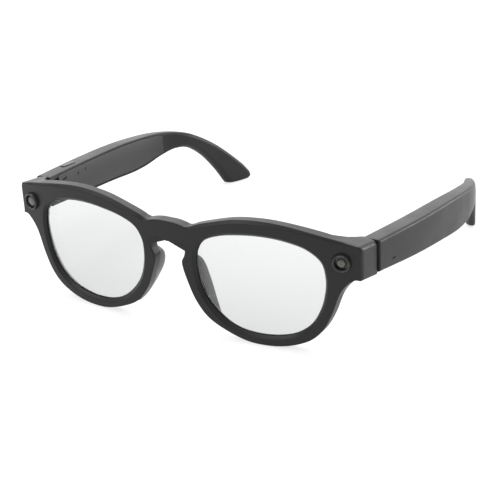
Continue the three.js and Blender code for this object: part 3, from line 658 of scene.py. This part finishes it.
# ---------------------------------------------------------------- nose pads
PAD_FOOT = 2.9                # how far behind the front face a pad starts
PAD_LINE = [(8.9, 30.2), (8.5, 27.9), (8.75, 24.6), (9.8, 20.8), (11.6, 17), (13.3, 13.6), (15.2, 10.2),
            (17.3, 7.2), (19.2, 5.4)]
pad_height = track([(0, 0.05), (0.06, 2.2), (0.16, 4.8), (0.3, 5.8), (0.52, 4.8), (0.75, 3.0), (0.9, 1.4),
                    (1, 0.05)])
pad_width = track([(0, 0.3), (0.1, 1.2), (0.25, 1.9), (0.45, 2.1), (0.7, 1.7), (0.9, 1.2), (1, 0.3)])


def pad_skin():
    """A rounded ridge behind the rim, highest beside the nose."""
    line = smoothed(PAD_LINE, 0.4)
    rows = []
    for t, (x, z), (nx, nz) in zip(np.linspace(0, 1, len(line)), line, outward(line)):
        wide, tall = float(pad_width(t)), float(pad_height(t))
        rear = float(front_y(x)) + THICKNESS
        foot = float(front_y(x)) + PAD_FOOT
        row = []
        for a in np.linspace(0, math.pi, 25):
            c = math.cos(a)
            u = wide * math.copysign(abs(c) ** 0.75, c)
            row.append((x + nx * u, rear + tall * math.sin(a) ** 0.8, z + nz * u))
        row.append((x - nx * wide, foot, z - nz * wide))
        row.append((x + nx * wide, foot, z + nz * wide))
        rows.append(row)
    return Skin().grid(settled(rows), closed_columns=True).fan(settled(rows[0])).fan(settled(rows[-1]))


for side_name, sign in (("left", 1), ("right", -1)):
    piece(f"{side_name}_pad", sided(pad_skin(), sign), pad_plastic, "front",
          [f"{side_name}_nose_pad"])


# ---------------------------------------------------------------- turned pieces on the end pieces
TURNED_SIDES = 96


def turned_on_end(profile, sign):
    """A profile of (radius, height) turned round the axis that looks out of one end piece."""
    axis = np.array([sign * math.sin(TOE_OUT), -math.cos(TOE_OUT), 0])
    upwards = np.array([0.0, 0.0, 1.0])
    base = np.array([sign * MODULE_X, front_y(MODULE_X), MODULE_Z])
    angle = np.linspace(0, 2 * math.pi, TURNED_SIDES, endpoint=False)
    ring = np.cos(angle)[:, None] * upwards + np.sin(angle)[:, None] * np.cross(axis, upwards)
    rows = [base + axis * h + ring * r for r, h in profile]
    return Skin().grid(rows, closed_columns=True), base, axis


def bevelled(profile, size=0.12, steps=3):
    """The profile with each inner corner cut by a short curve."""
    p = [np.array(q, float) for q in profile]
    out = [p[0]]
    for before, at, after in zip(p, p[1:], p[2:]):
        a, b = before - at, after - at
        cut = min(size, 0.45 * np.linalg.norm(a), 0.45 * np.linalg.norm(b))
        start, end = at + a / np.linalg.norm(a) * cut, at + b / np.linalg.norm(b) * cut
        for t in np.linspace(0, 1, steps + 1):
            out.append((1 - t) ** 2 * start + 2 * t * (1 - t) * at + t * t * end)
    out.append(p[-1])
    return out


PROUD = 1.5                   # how far a bezel stands out of the front
BEZEL_RADIUS = 3.2
BEZEL_BASE = 3.4
BEZEL_BACK = -1.6
BORE = 2.45
SEAT_RADIUS = BEZEL_BASE + 0.12
SEAT_BACK = -2.4
ring_profile = [(BORE, BEZEL_BACK), (BEZEL_BASE, BEZEL_BACK), (BEZEL_BASE, 0.2),
                (BEZEL_RADIUS, PROUD - 0.25), (BEZEL_RADIUS - 0.25, PROUD), (BORE + 0.25, PROUD),
                (BORE, PROUD - 0.4), (BORE, BEZEL_BACK)]
seat_profile = [(0.001, SEAT_BACK), (SEAT_RADIUS, SEAT_BACK), (SEAT_RADIUS, 2 * PROUD),
                (0.001, 2 * PROUD)]
for sign in (1, -1):
    seat, _, _ = turned_on_end(seat_profile, sign)
    carve(front_frame, seat)

for owner, sign in (("camera", 1), ("status_light", -1)):
    skin, _, _ = turned_on_end(bevelled(ring_profile), sign)
    piece(f"{owner}_ring", skin, bezel_plastic, "front", [f"{owner}_bezel"])

GLASS_RADIUS = 2.5
DOME = 1.8
WINDOW = 1.2                  # the light's window is this many times as wide as the camera's dome
dome = [(DOME * math.sin(a), 0.35 + 0.75 * math.cos(a)) for a in np.linspace(0.001, math.pi / 2, 14)]
glass_profile = dome + [(DOME + 0.05, 0.3), (GLASS_RADIUS, 0.25), (GLASS_RADIUS, -0.2),
                        (0.001, -0.2)]
skin, base, axis = turned_on_end(glass_profile, 1)
camera_glass = ringed("camera_glass", to_row(base), turned_to_row(axis),
                      [(0, (0.05, 0.055, 0.04)), (0.5, (0.05, 0.055, 0.04)), (0.75, (0.085, 0.09, 0.07)),
                       (1.2, (0.07, 0.075, 0.06)), (1.65, (0.03, 0.033, 0.027)),
                       (1.85, (0.006, 0.006, 0.006)),
                       (GLASS_RADIUS, (0.004, 0.004, 0.004))], 0.15, Coat_Weight=0.4)
piece("camera_dome", skin, camera_glass, "front", ["camera_cover_glass"])
glass_profile = [(r * WINDOW if r < GLASS_RADIUS else r, h) for r, h in glass_profile]
skin, base, axis = turned_on_end(glass_profile, -1)
light_window = ringed("light_window", to_row(base), turned_to_row(axis),
                      [(0, (0.11, 0.11, 0.11)), (1.3, (0.1, 0.1, 0.1)), (1.9, (0.07, 0.07, 0.07)),
                       (2.15, (0.02, 0.02, 0.02)), (GLASS_RADIUS, (0.006, 0.006, 0.006))],
                      0.2, Coat_Weight=0.3)
piece("status_light_dome", skin, light_window, "front", ["status_light_window"])

# ---------------------------------------------------------------- arms
HOOK_START = 95               # y from which the sections lean with the ear hook
arm_outer = track([(20, 75.7), (46, 78.2), (67, 79.3), (89, 79.0), (103, 77.0), (117, 71.4), (132, 65.8),
                   (152, 57.2)])
arm_width = track([(20, 6.6), (60, 6.7), (82, 6.0), (103, 5.1), (152, 4.4)])
arm_top = track([(20, 41), (46, 38.35), (74, 35.4), (92, 32.8), (103, 30.9), (112, 28.7), (120, 25.2),
                 (132, 16.6), (144, 4.5), (149, -2.2)])
arm_bottom = track([(20, 28.6), (46, 24.7), (67, 21.9), (82, 19.8), (92, 19.5), (103, 20.6), (110, 21.2),
                    (117, 19.6), (124.6, 13.4), (131.2, 4.8), (136.2, -3.6)])
# Which point of the lower edge stands across from a point of the upper edge, by their y.
arm_across = track([(HOOK_START, HOOK_START), (103, 103), (110, 109.3), (117, 114.6), (125, 120.4),
                    (132, 126.4), (140, 132.2), (148.2, 136.2)])
# The last sections, round the tip: (y, z) at the top and low side, and how far they are drawn in.
TIP_SECTIONS = [((148.7, -2.7), (137.4, -4.2), 0.0), ((148.8, -3.2), (139.2, -4.4), 0.05),
                ((148.4, -3.8), (141.2, -4.5), 0.2), ((147.9, -4.25), (143.8, -4.57), 0.5),
                ((147.0, -4.6), (146.0, -4.63), 1.0)]


def edge_points(y):
    """Top and low edge points (y, z) of the section that meets the top edge at y."""
    y_low = y if y < HOOK_START else float(arm_across(y))
    return np.array([y, float(arm_top(y))]), np.array([y_low, float(arm_bottom(y_low))])


def rounded_section(width, height, outer_round, inner_round, pocket=0.0, margin=COVER_MARGIN):
    """(depth inside the outer face, height) round a section, with a pocket in its inner side."""
    loop = []

    def corner(depth, rise, radius, start, end):
        for a in np.radians(np.linspace(start, end, 7)):
            loop.append((depth + radius * math.cos(a), rise + radius * math.sin(a)))

    corner(outer_round, height - outer_round, outer_round, 180, 90)
    corner(width - inner_round, height - inner_round, inner_round, 90, 0)
    floor_at = width - pocket
    loop.append((width, height - margin - inner_round))
    loop += [(floor_at, v) for v in np.linspace(height - margin - inner_round, margin + inner_round, 5)]
    loop.append((width, margin + inner_round))
    corner(width - inner_round, inner_round, inner_round, 0, -90)
    corner(outer_round, outer_round, outer_round, -90, -180)
    return loop


def placed(loop, top, low, from_outer=0.0):
    """A section's points, upright millimetres; each follows the arm's bend at its own y."""
    way = (top - low) / np.linalg.norm(top - low)
    row = []
    for depth, rise in loop:
        y, z = low + way * rise
        row.append((float(arm_outer(y)) - from_outer - depth, y, z))
    return row


def arm_row(y, inset=0.0, pocket=0.0):
    """The arm's section that meets its top edge at y; it is rounder along the hook."""
    top, low = edge_points(y)
    way = (top - low) / np.linalg.norm(top - low)
    top, low = top - way * inset, low + way * inset
    height = np.linalg.norm(top - low)
    hook = float(smoothstep(92, 118, y))
    soft = 1.25 + 0.95 * hook
    loop = rounded_section(float(arm_width(y)) - 2 * inset, height, soft, 0.35 + 1.7 * hook, pocket)
    return placed(loop, top, low, inset)


def shell_skin():
    """The arm, with a pocket in its inner side for the cover."""
    rows = [arm_row(ARM_START, 0.22), arm_row(ARM_START + 0.07, 0.07), arm_row(ARM_START + 0.22)]
    rows += [arm_row(y) for y in np.linspace(ARM_START + 1, COVER_START - SEAM, 6)]
    pocket_ends = (COVER_START - SEAM, COVER_END + END_SEAM)
    rows += [arm_row(y, 0, COVER_DEPTH) for y in np.linspace(*pocket_ends, 72)]
    rows += [arm_row(y) for y in np.linspace(COVER_END + END_SEAM, 148.3, 72)]
    for top, low, inset in TIP_SECTIONS:
        top, low = np.array(top), np.array(low)
        height = np.linalg.norm(top - low)
        soft = min(2.1 - inset, 0.45 * height)
        width = float(arm_width(148)) - 2 * inset
        loop = rounded_section(width, height, soft, soft, margin=0.05 * height)
        rows.append(placed(loop, top, low, inset))
    return Skin().grid(rows, closed_columns=True).fan(rows[0]).fan(rows[-1])


def cover_skin():
    """The plate in the pocket, with a fine seam all round it."""
    rows = []
    front_round = [(0.3, 0), (0.08, 0.08), (0, 0.3)]
    spots = [(COVER_START + dy, inset) for inset, dy in front_round]
    spots += [(y, 0) for y in np.linspace(COVER_START + 1, COVER_END - 1, 70)]
    spots += [(COVER_END, 0)]
    for y, inset in spots:
        top, low = edge_points(y)
        way = (top - low) / np.linalg.norm(top - low)
        edge = COVER_MARGIN + 0.35 + 0.8 * SEAM
        top, low = top - way * edge, low + way * edge
        height = np.linalg.norm(top - low)
        thick = COVER_DEPTH - FLOOR_GAP - inset
        loop = [(0, height), (thick - 0.3, height), (thick - 0.09, height - 0.09),
                (thick, height - 0.3), (thick, 0.3), (thick - 0.09, 0.09), (thick - 0.3, 0), (0, 0)]
        under = float(arm_width(y)) - COVER_DEPTH + FLOOR_GAP
        rows.append(placed([(under + depth, rise) for depth, rise in loop], top, low))
    return Skin().grid(rows, closed_columns=True).fan(rows[0]).fan(rows[-1])


def box_skin(low, high):
    """A plain box between two corners."""
    (x0, y0, z0), (x1, y1, z1) = low, high
    ring = [(x0, z0), (x1, z0), (x1, z1), (x0, z1)]
    rows = [[(x, y, z) for x, z in ring] for y in (y0, y1)]
    return Skin().grid(rows, closed_columns=True).fan(rows[0]).fan(rows[-1])


def rod_skin(radius, x0, x1, y, z):
    """A round rod along X."""
    a = np.linspace(0, 2 * math.pi, 32, endpoint=False)
    rows = [[(x, y + radius * math.cos(t), z + radius * math.sin(t)) for t in a] for x in (x0, x1)]
    return Skin().grid(rows, closed_columns=True).fan(rows[0]).fan(rows[-1])


# Boxes cut out, left side: opposite corners (x, y, z).
RECESS = ((60, 19, 30.3), (72.4, COVER_START + 0.02, 38.9))
OUTER_SLOT = ((76.3, 28.5, 30.4), (80, 30.7, 30.8))
SPEAKER_SLOTS = [((74.6, y, 15), (76.6, y + 1, 23.4)) for y in (88, 90.5, 93)]
KNOB_SLOT = ((68, 44.2, 32.3), (74, 50.2, 34.5))
INNER_SLOT = ((68, 29.4, 36.2), (71.4, 32.4, 36.75))
PINHOLES = [(40.8, 35.1, 0.55), (46.4, 34.9, 0.45)]     # y, z, radius
BUTTON_GAP = 0.18
BUTTON_TRAVEL = (0, 0.25, 0.5)                          # the button's well is cut at each
BROW_GAP = 0.12

arm_pieces = {}
for side_name, sign in (("left", 1), ("right", -1)):
    body = f"{side_name}_arm"
    shell = piece(f"{body}_body", sided(shell_skin(), sign), frame_plastic, body,
                  [f"{body}_shell"], sharp=40)
    cover = piece(f"{body}_inner", sided(cover_skin(), sign), inner_plastic, body,
                  [f"{body}_cover"], sharp=40)
    for corners in (RECESS, OUTER_SLOT, *SPEAKER_SLOTS):
        carve(shell, sided(box_skin(*corners), sign))
    arm_pieces[side_name] = (shell, cover)
left_cover = arm_pieces["left"][1]
right_shell, right_cover = arm_pieces["right"]
carve(left_cover, box_skin(*KNOB_SLOT))
for y, z, radius in PINHOLES:
    carve(right_cover, rod_skin(radius, 60, 80, y, z).mirrored())
carve(right_cover, box_skin(*INNER_SLOT).mirrored())
for lowered in BUTTON_TRAVEL:
    carve_around(right_shell, "capture_button", BUTTON_GAP, lowered)
carve_around(front_frame, "brow_cover", BROW_GAP)

# ---------------------------------------------------------------- CAD pieces that keep their shape
KEPT = {
    steel: ["left_front_hinge_leaf", "right_front_hinge_leaf", "left_hinge_pin", "right_hinge_pin",
            "left_arm_hinge_leaf", "right_arm_hinge_leaf", "left_hinge_screw_front", "left_hinge_screw_back",
            "right_hinge_screw_front", "right_hinge_screw_back", "left_core_wire", "right_core_wire",
            "nose_microphone", "left_arm_microphone", "right_arm_microphone", "capture_switch"],
    gold: ["left_charging_contact", "right_charging_contact"],
    board_green: ["camera_board", "status_light_board", "main_board"],
    film_amber: ["brow_flex", "touch_sensor"],
    cell_foil: ["battery"],
    mesh_black: ["left_speaker_mesh", "right_speaker_mesh"],
    dark_plastic: ["camera_barrel", "left_speaker", "right_speaker", "power_switch_body", "indicator_window",
                   "wear_sensor_window"],
    inner_plastic: ["brow_cover", "power_switch_knob"],
    button_plastic: ["capture_button"],
}
for material, names in KEPT.items():
    for name in names:
        node = frame["nodes"][name]
        node.data.materials.clear()
        node.data.materials.append(material)
        edges = node.modifiers.new("soft_edges", "BEVEL")
        edges.width = SOFT_EDGE * MM
        edges.segments = 2
        edges.limit_method = "ANGLE"
        edges.angle_limit = math.radians(50)

# ---------------------------------------------------------------- floor, light and camera
# A wall of light behind the glasses, as the camera looks, and a fainter ceiling. The camera
# itself sees plain white.
BEHIND = (-0.55, 0.83, 0)
world = bpy.data.worlds.new("studio")
world.use_nodes = True
tree = world.node_tree
where = add(tree, "ShaderNodeTexCoord")
split = add(tree, "ShaderNodeSeparateXYZ")
tree.links.new(where.outputs["Generated"], split.inputs["Vector"])
towards = add(tree, "ShaderNodeVectorMath", operation="DOT_PRODUCT")
towards.inputs[1].default_value = BEHIND
tree.links.new(where.outputs["Generated"], towards.inputs[0])
rear_glow = add(tree, "ShaderNodeMapRange", {"From Min": 0.3, "From Max": 0.9,
                                             "To Min": 0.4, "To Max": 1.7})
top_glow = add(tree, "ShaderNodeMapRange", {"From Min": 0.0, "From Max": 0.5, "To Max": 0.5})
both = add(tree, "ShaderNodeMath", operation="ADD")
tree.links.new(towards.outputs["Value"], rear_glow.inputs["Value"])
tree.links.new(split.outputs["Z"], top_glow.inputs["Value"])
tree.links.new(rear_glow.outputs["Result"], both.inputs[0])
tree.links.new(top_glow.outputs["Result"], both.inputs[1])
seen = add(tree, "ShaderNodeLightPath")
white_seen = add(tree, "ShaderNodeMath", operation="MAXIMUM")
tree.links.new(both.outputs["Value"], white_seen.inputs[0])
tree.links.new(seen.outputs["Is Camera Ray"], white_seen.inputs[1])
tree.links.new(white_seen.outputs["Value"], tree.nodes["Background"].inputs["Strength"])
tree.nodes["Background"].inputs["Color"].default_value = (1, 1, 1, 1)
scene = bpy.context.scene
scene.world = world
scene.view_settings.view_transform = "Standard"
scene.view_settings.look = "None"


def soft_box(name, at, aim, size, power):
    """A rectangular lamp at one point that looks at another; metres and watts."""
    data = bpy.data.lights.new(name, "AREA")
    data.shape = "RECTANGLE"
    data.size, data.size_y = size
    data.energy = power
    lamp = bpy.data.objects.new(name, data)
    scene.collection.objects.link(lamp)
    lamp.location = at
    lamp.rotation_euler = (Vector(aim) - Vector(at)).to_track_quat("-Z", "Y").to_euler()


soft_box("overhead", (0, 0.25, 0.7), (0, 0, 0), (0.9, 0.7), 5)
soft_box("front_high", (-0.5, -0.45, 0.8), (0, 0, 0.03), (0.5, 0.5), 2.2)
soft_box("rear_side", (0.55, 0.6, 0.12), (0.05, 0, 0.02), (0.5, 0.3), 3)

floor_skin = bpy.data.meshes.new("floor")
work = bmesh.new()
bmesh.ops.create_grid(work, x_segments=4, y_segments=4, size=4)
work.to_mesh(floor_skin)
work.free()
floor = bpy.data.objects.new("floor", floor_skin)
scene.collection.objects.link(floor)
floor.data.materials.append(moulded("floor_card", (0.3, 0.3, 0.3), 0.9, grain=300, bump=0.02, tone=0.005,
                                    Emission_Color=(1, 1, 1, 1), Emission_Strength=0.7,
                                    Specular_IOR_Level=0.1))

AZIMUTH, ELEVATION, ROLL = (math.radians(a) for a in (32.2, 25.05, -3.42))
DISTANCE = 0.480              # m from the point it looks at
AIM = (35.46, 0, 38.3)        # that point, in upright millimetres
FOCAL_LENGTH = 99.07
back = np.array([math.sin(AZIMUTH) * math.cos(ELEVATION), -math.cos(AZIMUTH) * math.cos(ELEVATION),
                 math.sin(ELEVATION)])
right = np.array([math.cos(AZIMUTH), math.sin(AZIMUTH), 0])
up = np.cross(back, right)
rolled = right * math.cos(ROLL) + up * math.sin(ROLL)
up = up * math.cos(ROLL) - right * math.sin(ROLL)
right, up, back = (Vector(turned_to_row(v)) for v in (rolled, up, back))
aim = Vector(to_row(AIM))
lens_data = bpy.data.cameras.new("camera")
lens_data.sensor_width = 36
lens_data.lens = FOCAL_LENGTH
lens_data.clip_start = 0.01
camera = bpy.data.objects.new("camera", lens_data)
scene.collection.objects.link(camera)
facing = Matrix((right, up, back)).transposed().to_4x4()
camera.matrix_world = Matrix.Translation(aim + back * DISTANCE) @ facing
scene.camera = camera
